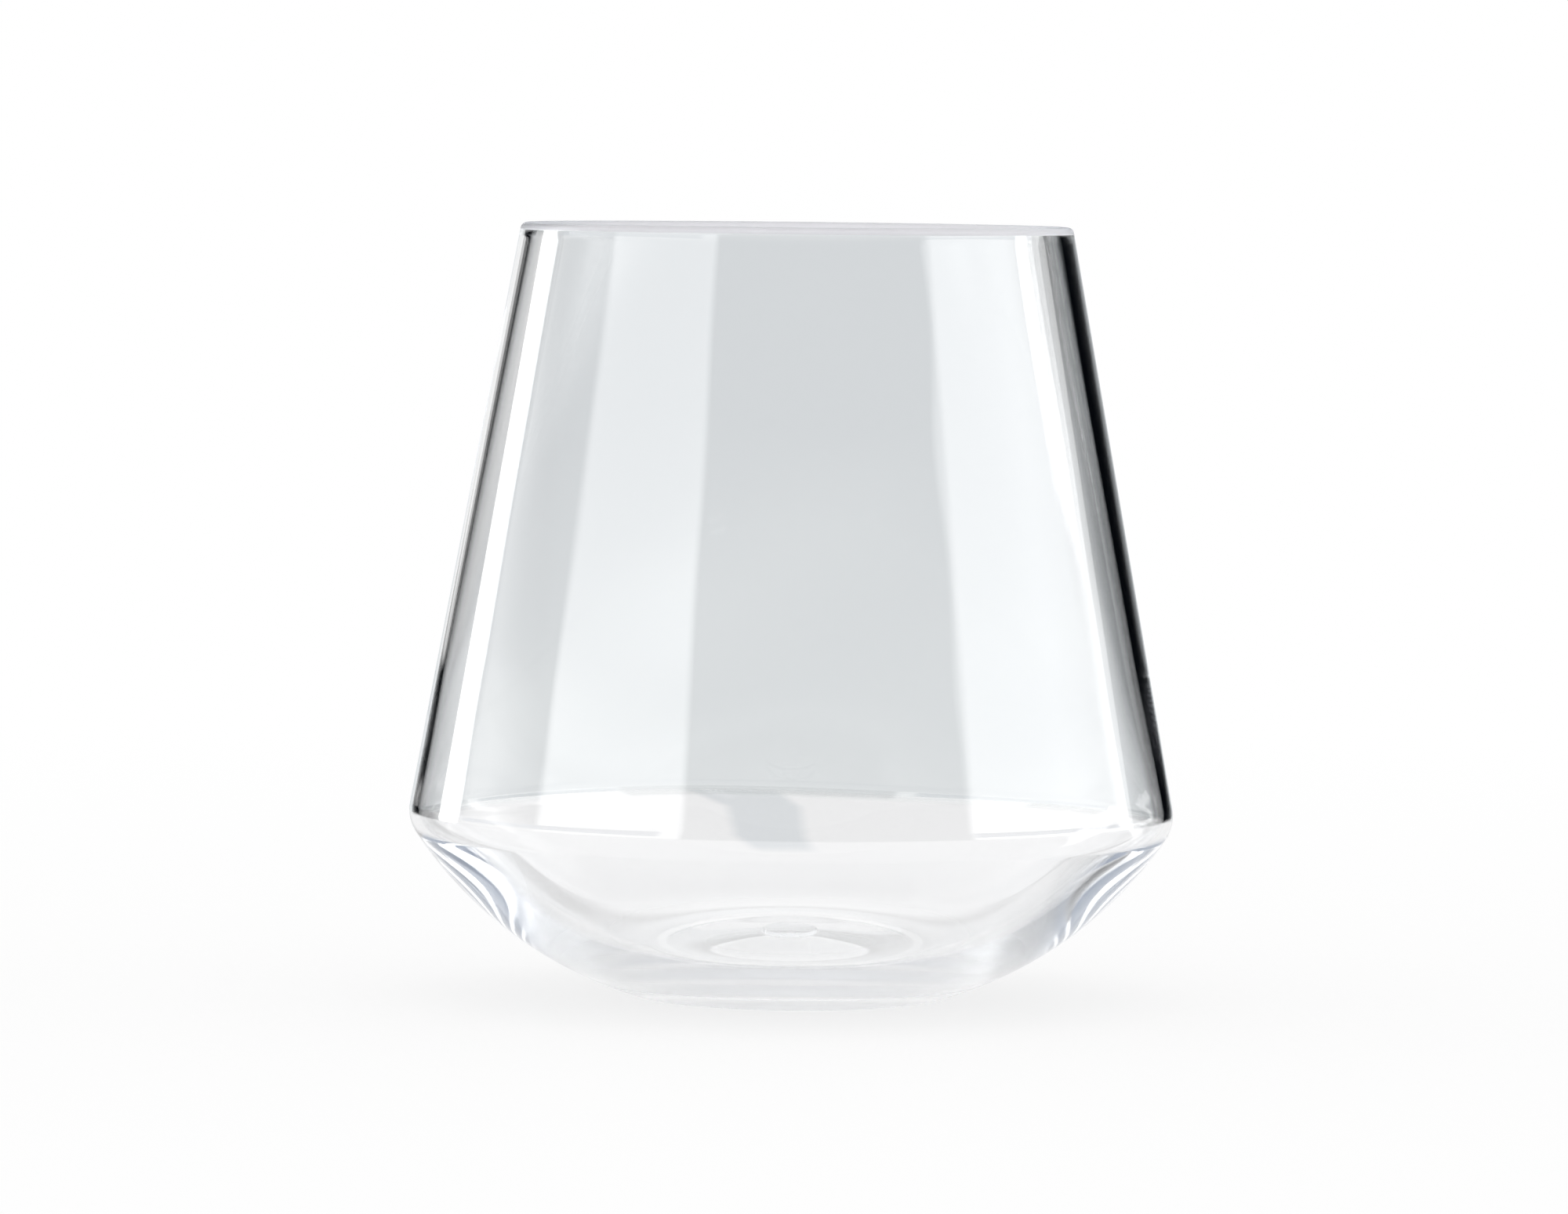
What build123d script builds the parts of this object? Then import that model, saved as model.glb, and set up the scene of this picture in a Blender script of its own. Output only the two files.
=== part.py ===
from build123d import *

import os
from math import cos, radians, sin, sqrt

# Stemless wine glass, one clear blow-moulded vessel.
# A straight wall narrows towards the mouth and meets a shallow bowl at a rounded shoulder.
# The wall is thin, and the bowl grows thicker all the way from the shoulder to its base.
# It stands on a flat ring round a shallow hollow.
# Millimetres, +Z up along the axis, origin at the centre of the plane it stands on.

os.makedirs("parts", exist_ok=True)

# Outside
height = 97.2
mouth_diameter = 69.1
belly_diameter = 96.0
shoulder_height = 23.4  # of the widest point above the table
shoulder_radius = 5.0
bowl_radius = 50.5
foot_diameter = 37.0  # where the bowl's curve reaches the table, before the rounding
foot_rounding = 8.0
hollow_diameter = 32.0
hollow_height = 0.5

# Thickness: the wall thins towards the belly, where the moulding was stretched most
rim_thickness = 1.8
belly_thickness = 1.15
foot_thickness = 4.0  # of the bowl over the foot's edge
centre_thickness = 4.5
rim_rounding = 0.85

# Inside
inner_bowl_slope = 50.0  # degrees, where the inside's shoulder passes into the bowl

# Marks that the moulding left at the axis
rod_mark_diameter = 7.0
rod_mark_height = 0.2
gate_diameter = 2.6
gate_height = 0.3
mark_rounding = 0.15


def beside(first, first_gap, second, second_gap):
    """The point at the given gaps from two points, to the left of the way from the first to the second."""
    way = second - first
    ahead = way.normalized()
    along = (first_gap**2 - second_gap**2 + way.length**2) / (2 * way.length)
    across = sqrt(first_gap**2 - along**2)
    return first + ahead * along + Vector(-ahead.Y, ahead.X) * across


def wall_start(tip, centre, radius):
    """Where a straight wall coming down from the tip touches the shoulder's circle, away from the axis."""
    reach = tip - centre
    ahead = reach.normalized()
    share = radius / reach.length
    return centre + (ahead * share + Vector(ahead.Y, -ahead.X) * sqrt(1 - share**2)) * radius


# Outside profile, as radius and height
rim_outer = Vector(mouth_diameter / 2, height)
shoulder_centre = Vector(belly_diameter / 2 - shoulder_radius, shoulder_height)
foot_outer = Vector(foot_diameter / 2, 0)
foot_inner = Vector(hollow_diameter / 2, 0)
bowl_centre = beside(foot_outer, bowl_radius, shoulder_centre, bowl_radius - shoulder_radius)
bowl_top = shoulder_centre + (shoulder_centre - bowl_centre).normalized() * shoulder_radius
wall_bottom = wall_start(rim_outer, shoulder_centre, shoulder_radius)
hollow_top = Vector(0, hollow_height)

# Inside profile
rim_inner = rim_outer - Vector(rim_thickness, 0)
inner_shoulder_radius = shoulder_radius - belly_thickness
inner_wall_bottom = wall_start(rim_inner, shoulder_centre, inner_shoulder_radius)
bowl_slope = radians(inner_bowl_slope)
inner_bowl_top = shoulder_centre + Vector(sin(bowl_slope), -cos(bowl_slope)) * inner_shoulder_radius
over_foot = foot_outer + Vector(0, foot_thickness)
floor_centre = hollow_top + Vector(0, centre_thickness)

with BuildPart() as tumbler:
    with BuildSketch(Plane.XZ) as section:
        with BuildLine() as profile:
            foot = Line(foot_inner, foot_outer)
            bowl = RadiusArc(foot @ 1, bowl_top, -bowl_radius)
            shoulder = TangentArc(bowl @ 1, wall_bottom, tangent=bowl % 1)
            wall = Line(shoulder @ 1, rim_outer)
            rim = Line(wall @ 1, rim_inner)
            inner_wall = Line(rim @ 1, inner_wall_bottom)
            inner_shoulder = TangentArc(inner_wall @ 1, inner_bowl_top, tangent=inner_wall % 1)
            inner_bowl = Spline(
                inner_shoulder @ 1,
                over_foot,
                floor_centre,
                tangents=(inner_shoulder % 1, (-1, 0)),
            )
            axis_line = Line(inner_bowl @ 1, hollow_top)
            hollow = TangentArc(axis_line @ 1, foot_inner, tangent=(1, 0))
        make_face()
        fillet(section.vertices().sort_by_distance(foot_outer)[0], radius=foot_rounding)
        fillet(section.vertices().group_by(Axis.Y)[-1], radius=rim_rounding)
    revolve(axis=Axis.Z)
    with Locations((0, 0, floor_centre.Y - centre_thickness / 2)):
        Cylinder(
            rod_mark_diameter / 2,
            centre_thickness / 2 + rod_mark_height,
            align=(Align.CENTER, Align.CENTER, Align.MIN),
        )
    rod_mark_edge = tumbler.edges(Select.LAST).group_by(Axis.Z)[-1]
    with Locations((0, 0, hollow_top.Y + centre_thickness / 2)):
        Cylinder(
            gate_diameter / 2,
            centre_thickness / 2 + gate_height,
            align=(Align.CENTER, Align.CENTER, Align.MAX),
        )
    gate_edge = tumbler.edges(Select.LAST).group_by(Axis.Z)[0]
    fillet(rod_mark_edge + gate_edge, radius=mark_rounding)

tumbler.part.label = "tumbler"
export_step(tumbler.part, "parts/tumbler.step")
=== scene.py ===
import math

import bpy
from mathutils import Matrix, Vector


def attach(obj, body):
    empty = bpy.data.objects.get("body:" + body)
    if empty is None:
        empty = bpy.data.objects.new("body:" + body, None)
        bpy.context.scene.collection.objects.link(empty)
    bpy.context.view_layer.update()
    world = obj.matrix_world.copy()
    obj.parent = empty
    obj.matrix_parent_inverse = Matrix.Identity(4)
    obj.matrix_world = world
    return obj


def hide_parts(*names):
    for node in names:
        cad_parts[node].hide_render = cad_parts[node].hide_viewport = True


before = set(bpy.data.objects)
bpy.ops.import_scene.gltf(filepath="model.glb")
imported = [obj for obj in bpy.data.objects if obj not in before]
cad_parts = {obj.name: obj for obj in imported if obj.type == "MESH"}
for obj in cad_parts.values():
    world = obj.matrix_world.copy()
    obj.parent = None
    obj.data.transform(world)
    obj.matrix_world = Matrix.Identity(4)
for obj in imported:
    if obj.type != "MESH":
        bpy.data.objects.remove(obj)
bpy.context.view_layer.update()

# Stemless wine glass in clear plastic: one turned vessel, a white table and a small studio of soft boxes.
# Metres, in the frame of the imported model.

scene = bpy.context.scene
MM = 0.001

# Camera, fitted to the photograph's outline
PHOTO_WIDTH = 2000
FOCAL_PIXELS = 11385.2
SENSOR = 36.0
EYE = (0.0, -1.12, 0.10919)
PITCH = 0.05355
PAN = -0.00105
ROLL = 0.01064

camera_data = bpy.data.cameras.new("camera")
camera_data.sensor_width = SENSOR
camera_data.lens = FOCAL_PIXELS * SENSOR / PHOTO_WIDTH
camera = bpy.data.objects.new("camera", camera_data)
pan = Matrix.Rotation(-PAN, 4, "Z")
tilt = Matrix.Rotation(math.pi / 2 - PITCH, 4, "X")
roll = Matrix.Rotation(ROLL, 4, "Z")
camera.matrix_world = Matrix.Translation(EYE) @ pan @ tilt @ roll
scene.collection.objects.link(camera)
scene.camera = camera

# Vessel: sizes of the solid, in millimetres
HEIGHT = 97.2
MOUTH_RADIUS = 34.55
BELLY_RADIUS = 48.0
SHOULDER_HEIGHT = 23.4
SHOULDER_RADIUS = 5.0
BOWL_RADIUS = 50.5
FOOT_RADIUS = 18.5
FOOT_ROUNDING = 8.0
HOLLOW_RADIUS = 16.0
HOLLOW_HEIGHT = 0.5
RIM_THICKNESS = 1.8
BELLY_THICKNESS = 1.15
FOOT_THICKNESS = 4.0
CENTRE_THICKNESS = 4.5
RIM_ROUNDING = 0.85
INNER_BOWL_SLOPE = math.radians(50.0)
ROD_MARK_RADIUS = 3.5
ROD_MARK_HEIGHT = 0.2
GATE_RADIUS = 1.3
GATE_HEIGHT = 0.3
MARK_ROUNDING = 0.15

# Unevenness of the blown inside, in millimetres: its shift off the axis and its soft waves
INSIDE_SHIFT = 0.20
WAVE = 0.08
WAVES = ((3, 41.0, 0.6, 1.0), (5, 29.0, 2.0, 0.6))  # times round, length along the axis, start and share
EVEN_BELOW, UNEVEN_FROM = 26.0, 44.0
WAVES_FALL_OFF = 4  # the power that keeps the waves to the front

# Fineness of the mesh: faces round the axis and along each stretch of the profile
TURNS = 180
GATE_SIDE_STEPS = 2
RING_STEPS = 4
MARK_STEPS = 6
RIM_STEPS = 8
SHOULDER_STEPS = 24
FOOT_STEPS = 30
HOLLOW_STEPS = 40
WALL_STEPS = 60
INNER_BOWL_STEPS = 80  # for each half
BOWL_STEPS = 110
SHARP_ANGLE = math.radians(40)


def point(radius, height):
    return Vector((radius, height))


def beside(first, first_gap, second, second_gap):
    """The point at the given gaps from two points, to the left of the way from the first to the second."""
    way = second - first
    ahead = way.normalized()
    along = (first_gap**2 - second_gap**2 + way.length_squared) / (2 * way.length)
    across = math.sqrt(first_gap**2 - along**2)
    return first + ahead * along + point(-ahead.y, ahead.x) * across


def wall_start(tip, centre, radius):
    """Where a straight wall coming down from the tip touches the shoulder's circle, away from the axis."""
    reach = tip - centre
    ahead = reach.normalized()
    share = radius / reach.length
    return centre + (ahead * share + point(ahead.y, -ahead.x) * math.sqrt(1 - share**2)) * radius


def line(start, end, steps):
    return [start.lerp(end, i / steps) for i in range(1, steps + 1)]


def arc(centre, start, end, steps):
    """Points along the shorter arc from start to end, without the start."""
    first = math.atan2(start.y - centre.y, start.x - centre.x)
    last = math.atan2(end.y - centre.y, end.x - centre.x)
    sweep = (last - first + math.pi) % (2 * math.pi) - math.pi
    radius = (start - centre).length
    angles = [first + sweep * i / steps for i in range(1, steps + 1)]
    return [centre + point(math.cos(a), math.sin(a)) * radius for a in angles]


def cubic(start, start_way, middle, end, end_way, steps):
    """Points along a smooth cubic curve through three points with the given end directions."""
    first, second = (middle - start).length, (end - middle).length
    pull = (middle - start) * (second / first) + (end - middle) * (first / second)
    middle_way = (pull * 3 - start_way * second - end_way * first) / (2 * (first + second))
    points = []
    for a, a_way, b, b_way, span in (
        (start, start_way, middle, middle_way, first),
        (middle, middle_way, end, end_way, second),
    ):
        for i in range(1, steps + 1):
            t = i / steps
            points.append(
                a * (2 * t**3 - 3 * t**2 + 1)
                + a_way * (span * (t**3 - 2 * t**2 + t))
                + b * (3 * t**2 - 2 * t**3)
                + b_way * (span * (t**3 - t**2))
            )
    return points


def rounded(before, corner, after, radius, steps):
    """Points round a corner between two straight runs."""
    back, ahead = (before - corner).normalized(), (after - corner).normalized()
    half = back.angle(ahead) / 2
    start = corner + back * (radius / math.tan(half))
    end = corner + ahead * (radius / math.tan(half))
    centre = corner + (back + ahead).normalized() * (radius / math.sin(half))
    return [start] + arc(centre, start, end, steps)


def outer_profile():
    """Outside points from the axis under the base up to the foot of the wall."""
    shoulder = point(BELLY_RADIUS - SHOULDER_RADIUS, SHOULDER_HEIGHT)
    foot = point(FOOT_RADIUS, 0)
    bowl = beside(foot, BOWL_RADIUS, shoulder, BOWL_RADIUS - SHOULDER_RADIUS)
    bowl_top = shoulder + (shoulder - bowl).normalized() * SHOULDER_RADIUS
    rim = point(MOUTH_RADIUS, HEIGHT)
    hollow_radius = (HOLLOW_RADIUS**2 + HOLLOW_HEIGHT**2) / (2 * HOLLOW_HEIGHT)
    hollow = point(0, HOLLOW_HEIGHT - hollow_radius)
    gate_tip = HOLLOW_HEIGHT - GATE_HEIGHT
    gate_foot = point(GATE_RADIUS, hollow.y + math.sqrt(hollow_radius**2 - GATE_RADIUS**2))
    points = [point(0, gate_tip)]
    points += rounded(points[0], point(GATE_RADIUS, gate_tip), gate_foot, MARK_ROUNDING, MARK_STEPS)
    points += line(points[-1], gate_foot, GATE_SIDE_STEPS)
    points += arc(hollow, gate_foot, point(HOLLOW_RADIUS, 0), HOLLOW_STEPS)
    edge = point(bowl.x, FOOT_ROUNDING)
    edge.x += math.sqrt((BOWL_RADIUS - FOOT_ROUNDING) ** 2 - (bowl.y - FOOT_ROUNDING) ** 2)
    points += line(points[-1], point(edge.x, 0), RING_STEPS)
    edge_top = edge + (edge - bowl).normalized() * FOOT_ROUNDING
    points += arc(edge, points[-1], edge_top, FOOT_STEPS)
    points += arc(bowl, points[-1], bowl_top, BOWL_STEPS)
    wall_bottom = wall_start(rim, shoulder, SHOULDER_RADIUS)
    points += arc(shoulder, bowl_top, wall_bottom, SHOULDER_STEPS)
    return points


def inner_profile():
    """Inside points from the foot of the wall down to the axis."""
    shoulder = point(BELLY_RADIUS - SHOULDER_RADIUS, SHOULDER_HEIGHT)
    radius = SHOULDER_RADIUS - BELLY_THICKNESS
    rim = point(MOUTH_RADIUS - RIM_THICKNESS, HEIGHT)
    wall_bottom = wall_start(rim, shoulder, radius)
    bowl_top = shoulder + point(math.sin(INNER_BOWL_SLOPE), -math.cos(INNER_BOWL_SLOPE)) * radius
    floor = point(0, HOLLOW_HEIGHT + CENTRE_THICKNESS)
    down = point(-math.cos(INNER_BOWL_SLOPE), -math.sin(INNER_BOWL_SLOPE))
    points = [wall_bottom] + arc(shoulder, wall_bottom, bowl_top, SHOULDER_STEPS)
    over_foot = point(FOOT_RADIUS, FOOT_THICKNESS)
    bowl = cubic(bowl_top, down, over_foot, floor, point(-1, 0), INNER_BOWL_STEPS)
    points += [p for p in bowl if p.x > ROD_MARK_RADIUS]
    mark_top = floor + point(0, ROD_MARK_HEIGHT)
    mark_foot = point(ROD_MARK_RADIUS, points[-1].y)
    points += [mark_foot]
    mark_corner = point(ROD_MARK_RADIUS, mark_top.y)
    points += rounded(mark_foot, mark_corner, mark_top, MARK_ROUNDING, MARK_STEPS)
    return points + [mark_top]


def whole_profile():
    """The closed section's points from the axis below, round the rim, to the axis above."""
    outside, inside = outer_profile(), inner_profile()
    outer_rim = point(MOUTH_RADIUS, HEIGHT)
    inner_rim = point(MOUTH_RADIUS - RIM_THICKNESS, HEIGHT)
    lip = rounded(outside[-1], outer_rim, inner_rim, RIM_ROUNDING, RIM_STEPS)
    points = outside + line(outside[-1], lip[0], WALL_STEPS)[:-1] + lip
    first_inner = len(points)
    points += rounded(outer_rim, inner_rim, inside[0], RIM_ROUNDING, RIM_STEPS)
    points += line(points[-1], inside[0], WALL_STEPS) + inside[1:]
    return points, first_inner


def unevenness(height, angle):
    """How far the inside lies off its even place: sideways, and towards the axis."""
    along = min(max((height - EVEN_BELOW) / (UNEVEN_FROM - EVEN_BELOW), 0), 1)
    share = along**2 * (3 - 2 * along)
    waves = sum(
        size * math.sin(times * angle + start) * math.sin(2 * math.pi * height / length + start)
        for times, length, start, size in WAVES
    )
    front = max(-math.sin(angle), 0) ** WAVES_FALL_OFF
    return INSIDE_SHIFT * share, WAVE * waves * share * front


def lathe(name, points, first_inner):
    """A mesh turned round the axis, with single points where the profile meets the axis."""
    vertices = [(0, 0, points[0].y * MM)]
    for k, p in enumerate(points[1:-1], start=1):
        for i in range(TURNS):
            angle = 2 * math.pi * i / TURNS
            aside, inwards = unevenness(p.y, angle) if k >= first_inner else (0, 0)
            radius = p.x - inwards
            across, ahead = radius * math.cos(angle) - aside, radius * math.sin(angle)
            vertices.append((across * MM, ahead * MM, p.y * MM))
    vertices.append((0, 0, points[-1].y * MM))
    rings = len(points) - 2
    last = len(vertices) - 1
    faces = []
    for i in range(TURNS):
        j = (i + 1) % TURNS
        faces.append((0, 1 + j, 1 + i))
        for k in range(rings - 1):
            low, high = 1 + k * TURNS, 1 + (k + 1) * TURNS
            faces.append((low + i, low + j, high + j, high + i))
        top = 1 + (rings - 1) * TURNS
        faces.append((top + i, top + j, last))
    mesh = bpy.data.meshes.new(name)
    mesh.from_pydata(vertices, [], faces)
    mesh.validate()
    mesh.shade_smooth()
    mesh.set_sharp_from_angle(angle=SHARP_ANGLE)
    return mesh


COLOUR_BELOW, COLOUR_OVER, COLOUR_OUT = 6, 7, 2  # the mix node's sockets for colours


def over(tree, below, colour, share):
    """One colour laid over another by a share."""
    node = tree.nodes.new("ShaderNodeMix")
    node.data_type = "RGBA"
    tree.links.new(share, node.inputs["Factor"])
    for socket, value in ((node.inputs[COLOUR_BELOW], below), (node.inputs[COLOUR_OVER], colour)):
        if isinstance(value, tuple):
            socket.default_value = (*value, 1)
        else:
            tree.links.new(value, socket)
    return node.outputs[COLOUR_OUT]


def nodes_of(tree):
    tree.nodes.clear()
    return tree.nodes, tree.links


def arithmetic(tree, operation, first, second=None, clamp=False):
    node = tree.nodes.new("ShaderNodeMath")
    node.operation = operation
    node.use_clamp = clamp
    for socket, value in zip(node.inputs, (first, second)):
        if isinstance(value, (int, float)):
            socket.default_value = value
        elif value is not None:
            tree.links.new(value, socket)
    return node.outputs[0]


def ramp(tree, value, start, end):
    """0 at start and 1 at end, straight between them."""
    return arithmetic(tree, "DIVIDE", arithmetic(tree, "SUBTRACT", value, start), end - start, clamp=True)


def between(tree, value, along, limits, leans, softness):
    """1 between two edges and 0 outside them, where each edge leans along the other coordinate."""
    sides = []
    for limit, lean, soft, way in zip(limits, leans, softness, (1, -1)):
        placed = arithmetic(tree, "SUBTRACT", value, arithmetic(tree, "MULTIPLY", along, lean))
        sides.append(ramp(tree, placed, limit - way * soft / 2, limit + way * soft / 2))
    return arithmetic(tree, "MULTIPLY", *sides)


def either(tree, first, second):
    return arithmetic(tree, "MAXIMUM", first, second)


# Clear plastic
IOR = 1.57
RIM_FROST = 0.6
FROST_EDGE = 0.1  # half the height in which the rim's frosting sets in, in millimetres
RIM_TONE = (0.945, 0.935, 0.975)
FOOT_SCUFF = 0.32
SCUFF_FROM, SCUFF_TO = 3.6, 1.6  # heights where the foot's frosting sets in and is full, in millimetres
TINT = (0.34, 0.46, 0.60, 1)
TINT_DENSITY = 1.5  # per metre, so it shows only along the wall
LAMP_SHARE = 0.965  # of the light that passes each face on its way to the table

plastic = bpy.data.materials.new("clear_plastic")
plastic.use_nodes = True
tree = plastic.node_tree
nodes, links = nodes_of(tree)
out = nodes.new("ShaderNodeOutputMaterial")
glass = nodes.new("ShaderNodeBsdfPrincipled")
glass.inputs["Transmission Weight"].default_value = 1
glass.inputs["IOR"].default_value = IOR
place = nodes.new("ShaderNodeTexCoord")
split = nodes.new("ShaderNodeSeparateXYZ")
links.new(place.outputs["Object"], split.inputs[0])
frost_height = HEIGHT - RIM_ROUNDING
frost = ramp(
    tree, split.outputs["Z"], (frost_height - FROST_EDGE) * MM, (frost_height + FROST_EDGE) * MM
)
scuff = ramp(tree, split.outputs["Z"], SCUFF_FROM * MM, SCUFF_TO * MM)
rim_rough = arithmetic(tree, "MULTIPLY", frost, RIM_FROST)
foot_rough = arithmetic(tree, "MULTIPLY", scuff, FOOT_SCUFF)
rough = either(tree, rim_rough, foot_rough)
links.new(rough, glass.inputs["Roughness"])
links.new(over(tree, (1.0, 1.0, 1.0), RIM_TONE, frost), glass.inputs["Base Color"])
tint = nodes.new("ShaderNodeVolumeAbsorption")
tint.inputs["Color"].default_value = TINT
tint.inputs["Density"].default_value = TINT_DENSITY
links.new(tint.outputs[0], out.inputs["Volume"])
lamps_through = nodes.new("ShaderNodeBsdfTransparent")
lamps_through.inputs["Color"].default_value = (LAMP_SHARE, LAMP_SHARE, LAMP_SHARE, 1)
path = nodes.new("ShaderNodeLightPath")
mix = nodes.new("ShaderNodeMixShader")
links.new(either(tree, path.outputs["Is Shadow Ray"], path.outputs["Is Diffuse Ray"]), mix.inputs[0])
links.new(glass.outputs[0], mix.inputs[1])
links.new(lamps_through.outputs[0], mix.inputs[2])
links.new(mix.outputs[0], out.inputs["Surface"])

profile, first_inner = whole_profile()
vessel = bpy.data.objects.new("clear_tumbler", lathe("clear_tumbler", profile, first_inner))
vessel.data.materials.append(plastic)
scene.collection.objects.link(vessel)
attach(vessel, "root")
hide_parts("tumbler")

# Table: pale near the glass, where it keeps the shadow, and plain white further out. As the glass sees it,
# the table carries painted shade, a painted reflection and a painted pool of light.
FLOOR_RADIUS = 4.0
FLOOR_SIDES = 96
FLOOR_COLOUR = (0.985, 0.985, 0.985, 1)
WHITE_FROM, WHITE_TO = 0.04, 0.50
SEEN_TO, GONE_FROM = 0.26, 0.36  # how far the table shows in the glass
# painted shade: as the glass sees it, the table is a shade darker than the table seen directly, for the
# shade under and behind the glass
TABLE_IN_GLASS_SHADED = (0.90, 0.90, 0.905)
PAINTED_POOL_TO, PAINTED_POOL_FROM = 0.034, 0.020  # painted light: a white glow on the table under the base, seen only in the glass, for the light the bowl draws together there
# painted reflection of the backdrop on the table, seen only in the glass
BACKDROP_GREY_REFLECTED = (0.72, 0.745, 0.765)
GREY_FROM, GREY_TO = 0.09, 0.12
GREY_SIDES, GREY_LEANS, GREY_EDGE = (0.0012, 0.006), (-0.06, -0.025), 0.002

bpy.ops.mesh.primitive_circle_add(vertices=FLOOR_SIDES, radius=FLOOR_RADIUS, fill_type="NGON")
floor = bpy.context.object
floor.name = "floor"
paint = bpy.data.materials.new("table")
paint.use_nodes = True
tree = paint.node_tree
nodes, links = nodes_of(tree)
out = nodes.new("ShaderNodeOutputMaterial")
matt = nodes.new("ShaderNodeBsdfDiffuse")
matt.inputs["Color"].default_value = FLOOR_COLOUR
white = nodes.new("ShaderNodeEmission")
clear = nodes.new("ShaderNodeBsdfTransparent")
place = nodes.new("ShaderNodeNewGeometry")
span = nodes.new("ShaderNodeVectorMath")
span.operation = "LENGTH"
links.new(place.outputs["Position"], span.inputs[0])
distance = span.outputs["Value"]
path = nodes.new("ShaderNodeLightPath")
seen = nodes.new("ShaderNodeMixShader")
links.new(ramp(tree, distance, WHITE_FROM, WHITE_TO), seen.inputs[0])
links.new(matt.outputs[0], seen.inputs[1])
links.new(white.outputs[0], seen.inputs[2])
# painted reflection: seen only in the glass, a wedge of the table behind it is painted the backdrop's
# grey, as the table's sheen would carry it
split = nodes.new("ShaderNodeSeparateXYZ")
links.new(place.outputs["Position"], split.inputs[0])
reflected_wedge = between(
    tree, split.outputs["X"], split.outputs["Y"], GREY_SIDES, GREY_LEANS, (GREY_EDGE, GREY_EDGE)
)
reflected_wedge = arithmetic(tree, "MULTIPLY", reflected_wedge, ramp(tree, split.outputs["Y"], GREY_FROM, GREY_TO))
# painted shade: the table in the glass, darker than the table seen directly
behind = nodes.new("ShaderNodeBsdfDiffuse")
links.new(over(tree, TABLE_IN_GLASS_SHADED, BACKDROP_GREY_REFLECTED, reflected_wedge), behind.inputs["Color"])
# painted light: the white glow under the base, seen only in the glass
near = nodes.new("ShaderNodeMixShader")
links.new(ramp(tree, distance, PAINTED_POOL_TO, PAINTED_POOL_FROM), near.inputs[0])
links.new(behind.outputs[0], near.inputs[1])
links.new(white.outputs[0], near.inputs[2])
in_glass = nodes.new("ShaderNodeMixShader")
links.new(ramp(tree, distance, SEEN_TO, GONE_FROM), in_glass.inputs[0])
links.new(near.outputs[0], in_glass.inputs[1])
links.new(clear.outputs[0], in_glass.inputs[2])
both = nodes.new("ShaderNodeMixShader")
links.new(either(tree, path.outputs["Is Glossy Ray"], path.outputs["Is Transmission Ray"]), both.inputs[0])
links.new(seen.outputs[0], both.inputs[1])
links.new(in_glass.outputs[0], both.inputs[2])
links.new(both.outputs[0], out.inputs["Surface"])
floor.data.materials.append(paint)

# Studio, as the glass sees it: dark sides, a grey backdrop, a strip lamp and two soft boxes.
# Each light lies between two azimuths, from the backdrop towards +X, and two elevations, in degrees.
# An edge that leans or rises moves by so many degrees for each degree along it.
DARK = (0.0015, 0.002, 0.003)
FROM_BELOW = (0.96, 0.965, 0.97)
CEILING = (1.22, 1.23, 1.24)
SIDE_BACKDROP = (0.70, 0.735, 0.76)
BACKDROP = (0.71, 0.74, 0.76)
BACKDROP_LOW = (0.80, 0.83, 0.84)
BACKDROP_LEFT = (0.95, 0.95, 0.95)
BOARD = (0.9, 0.9, 0.9)
GLOW = (0.50, 0.51, 0.52)
STRIP = (5.0, 5.0, 5.0)
LEFT_BOX = (1.5, 1.5, 1.5)
LEFT_BOX_LOW = (2.0, 2.0, 2.0)
RIGHT_GLOW = (0.25, 0.27, 0.28)
RIGHT_GLOW_HIGH = (0.70, 0.71, 0.72)
RIGHT_BOX = (2.4, 2.4, 2.4)
RIGHT_BOX_INNER = (1.7, 1.7, 1.7)
RIGHT_BOX_EDGE = (2.7, 2.7, 2.7)
RIGHT_BOX_LOW = (1.3, 1.3, 1.3)
FEET = (0.20, 0.26, 0.36)
ROUND = (-190, 190)
BOXES = (-40, 30)
SIDES = (1, 1)  # usual softness of a light's sides
ENDS = (3, 3)  # usual softness of its lower and upper ends
STRAIGHT = (0, 0)

world = bpy.data.worlds.new("studio")
world.use_nodes = True
scene.world = world
tree = world.node_tree
nodes, links = nodes_of(tree)
out = nodes.new("ShaderNodeOutputWorld")
sky = nodes.new("ShaderNodeBackground")
links.new(sky.outputs[0], out.inputs["Surface"])
place = nodes.new("ShaderNodeTexCoord")
split = nodes.new("ShaderNodeSeparateXYZ")
links.new(place.outputs["Generated"], split.inputs[0])
round_angle = arithmetic(tree, "ARCTAN2", split.outputs["X"], split.outputs["Y"])
azimuth = arithmetic(tree, "MULTIPLY", round_angle, math.degrees(1))
up_angle = arithmetic(tree, "ARCSINE", split.outputs["Z"])
elevation = arithmetic(tree, "MULTIPLY", up_angle, math.degrees(1))


def lit(below, across, upward, light, soft=SIDES, fade=ENDS, leans=STRAIGHT, rises=STRAIGHT):
    """The studio with one more light laid over it."""
    wide = between(tree, azimuth, elevation, across, leans, soft)
    high = between(tree, elevation, azimuth, upward, rises, fade)
    return over(tree, below, light, arithmetic(tree, "MULTIPLY", wide, high))


# below, above and the left side
studio = lit(DARK, ROUND, (-100, -10), FROM_BELOW, fade=(4, 4))
studio = lit(studio, ROUND, (28, 100), CEILING, fade=(8, 8))
studio = lit(studio, (-48, 55), (12, 100), CEILING, fade=(4, 4))
studio = lit(studio, (-104, -76), (-40, 1), SIDE_BACKDROP, soft=(4, 4), fade=(4, 4))
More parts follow.
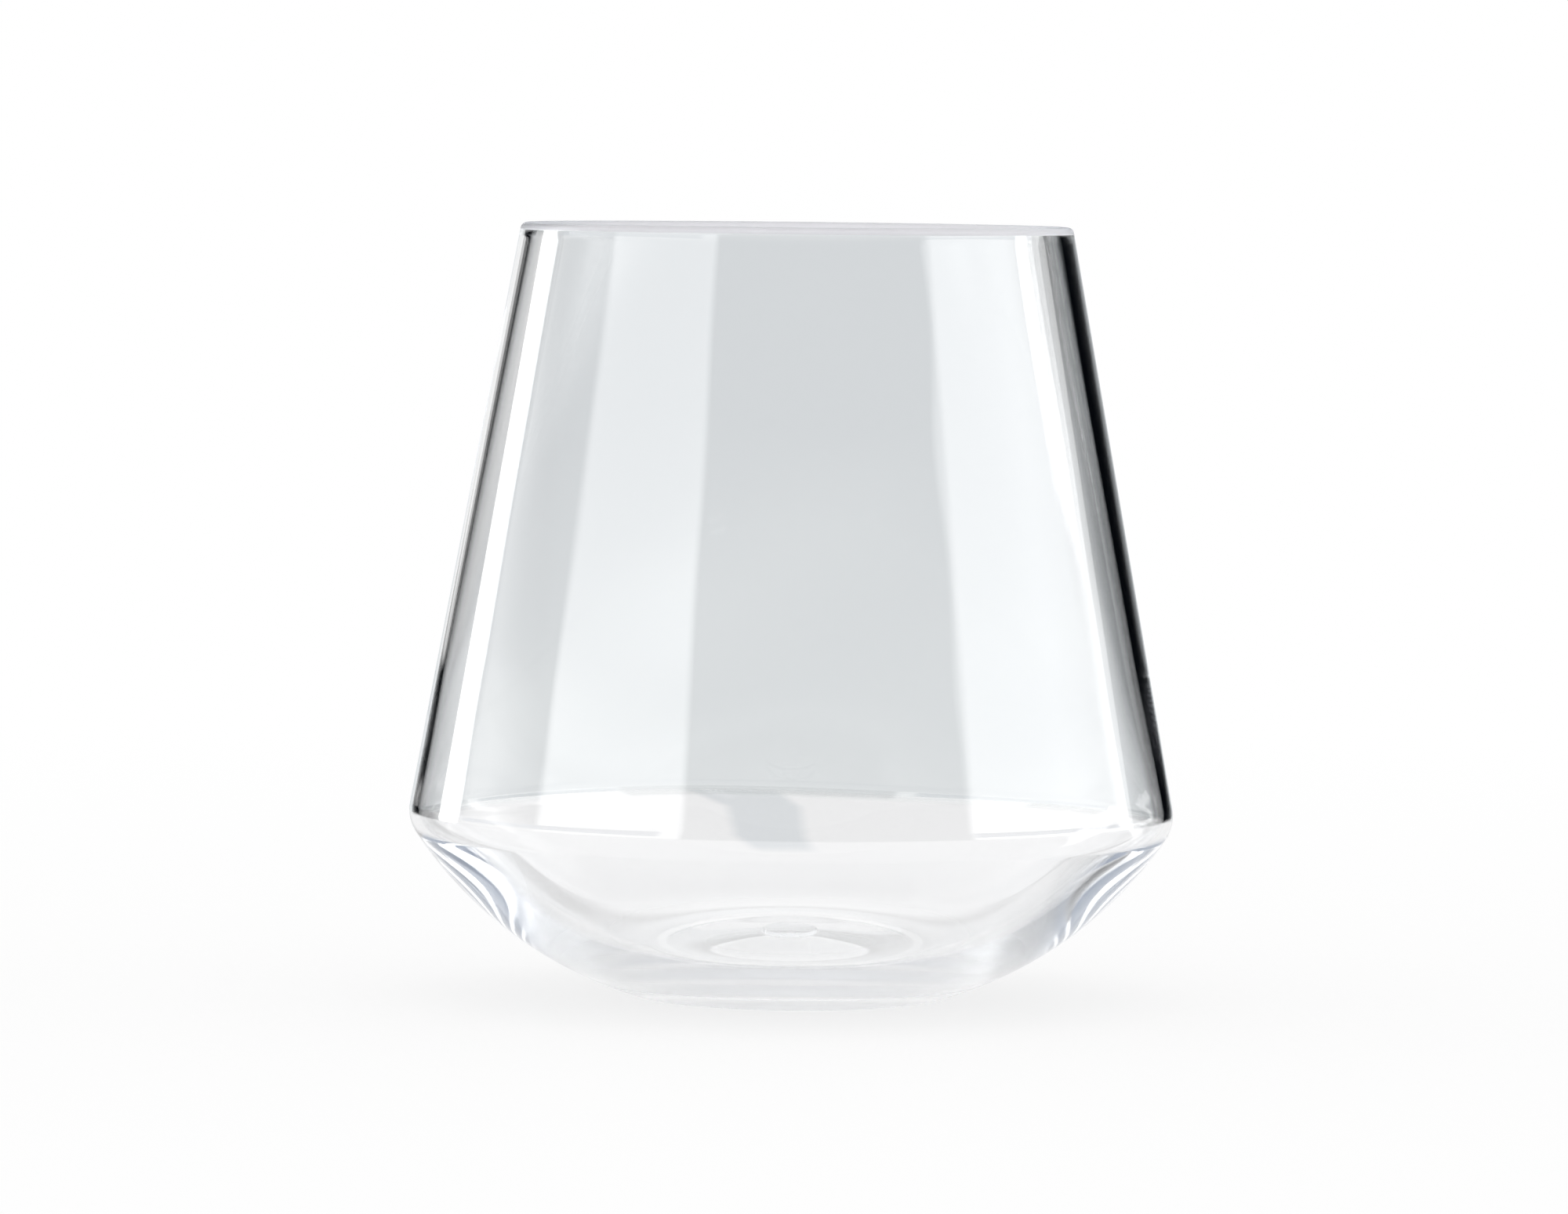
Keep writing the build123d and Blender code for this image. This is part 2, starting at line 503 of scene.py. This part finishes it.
# the backdrop, lighter low down and at its left side, with a dark flag before its upper right
studio = lit(studio, (-16, 10), (-9, 9), BACKDROP, soft=(1, 8))
studio = lit(studio, (-16, 10), (-9, -2.6), BACKDROP_LOW, soft=(1, 8))
studio = lit(studio, (-16, -8), (-1.5, 9), BACKDROP_LEFT, soft=(1, 5), fade=(2, 3))
studio = lit(studio, (-21, -15), (0.2, 9), BOARD, fade=(1.2, 3), leans=(-0.6, 0))
studio = lit(studio, (3.5, 33), (2.2, 9), DARK, soft=(8, 3), fade=(1.2, 3))
# a pale low board at the left
studio = lit(studio, (-97, -60), (-40, 9.5), BOARD, soft=(3, 3))
# the strip lamp and its glow
studio = lit(studio, (-62, -26), (2.5, 30), GLOW, soft=(1, 4), fade=(6, 3), leans=(0, -1.75))
studio = lit(studio, (-58.7, -47.8), BOXES, STRIP)
# the left box, brighter in its lower half
studio = lit(studio, (-146, -97), BOXES, LEFT_BOX, soft=(3, 3))
studio = lit(studio, (-146, -97), (-40, 1), LEFT_BOX_LOW, soft=(3, 3), rises=(0, -0.119))
# the right box and its glow, dimmer towards the backdrop but for its upper edge
studio = lit(studio, (38, 60), BOXES, RIGHT_GLOW, soft=(3, 1))
studio = lit(studio, (49, 60), (5, 30), RIGHT_GLOW_HIGH, soft=(10, 1), fade=(4, 3))
studio = lit(studio, (55, 123), BOXES, RIGHT_BOX, soft=(1, 3))
studio = lit(studio, (55, 75), BOXES, RIGHT_BOX_INNER, soft=(1, 20))
studio = lit(studio, (55, 61), (6, 30), RIGHT_BOX_EDGE, soft=(1, 4), fade=(4, 3))
studio = lit(studio, (50, 75), (-12.5, -5), RIGHT_BOX_LOW, soft=(1, 4), fade=(1.5, 3))
# the dim feet of the side lights
studio = lit(studio, (-140, -62), (0.5, -1.2), FEET, soft=(3, 3), fade=(1.5, 1), rises=(0, -0.11))
studio = lit(studio, (62, 123), (0.5, -1.2), FEET, soft=(3, 3), fade=(1.5, 1), rises=(0, 0.11))
path = nodes.new("ShaderNodeLightPath")
by_glass = either(tree, path.outputs["Is Glossy Ray"], path.outputs["Is Transmission Ray"])
links.new(over(tree, (1.0, 1.0, 1.0), studio, by_glass), sky.inputs["Color"])

scene.view_settings.view_transform = "Standard"
BOUNCES = 200  # light runs far along inside the thin wall
scene.cycles.max_bounces = BOUNCES
scene.cycles.transmission_bounces = BOUNCES
scene.cycles.glossy_bounces = BOUNCES
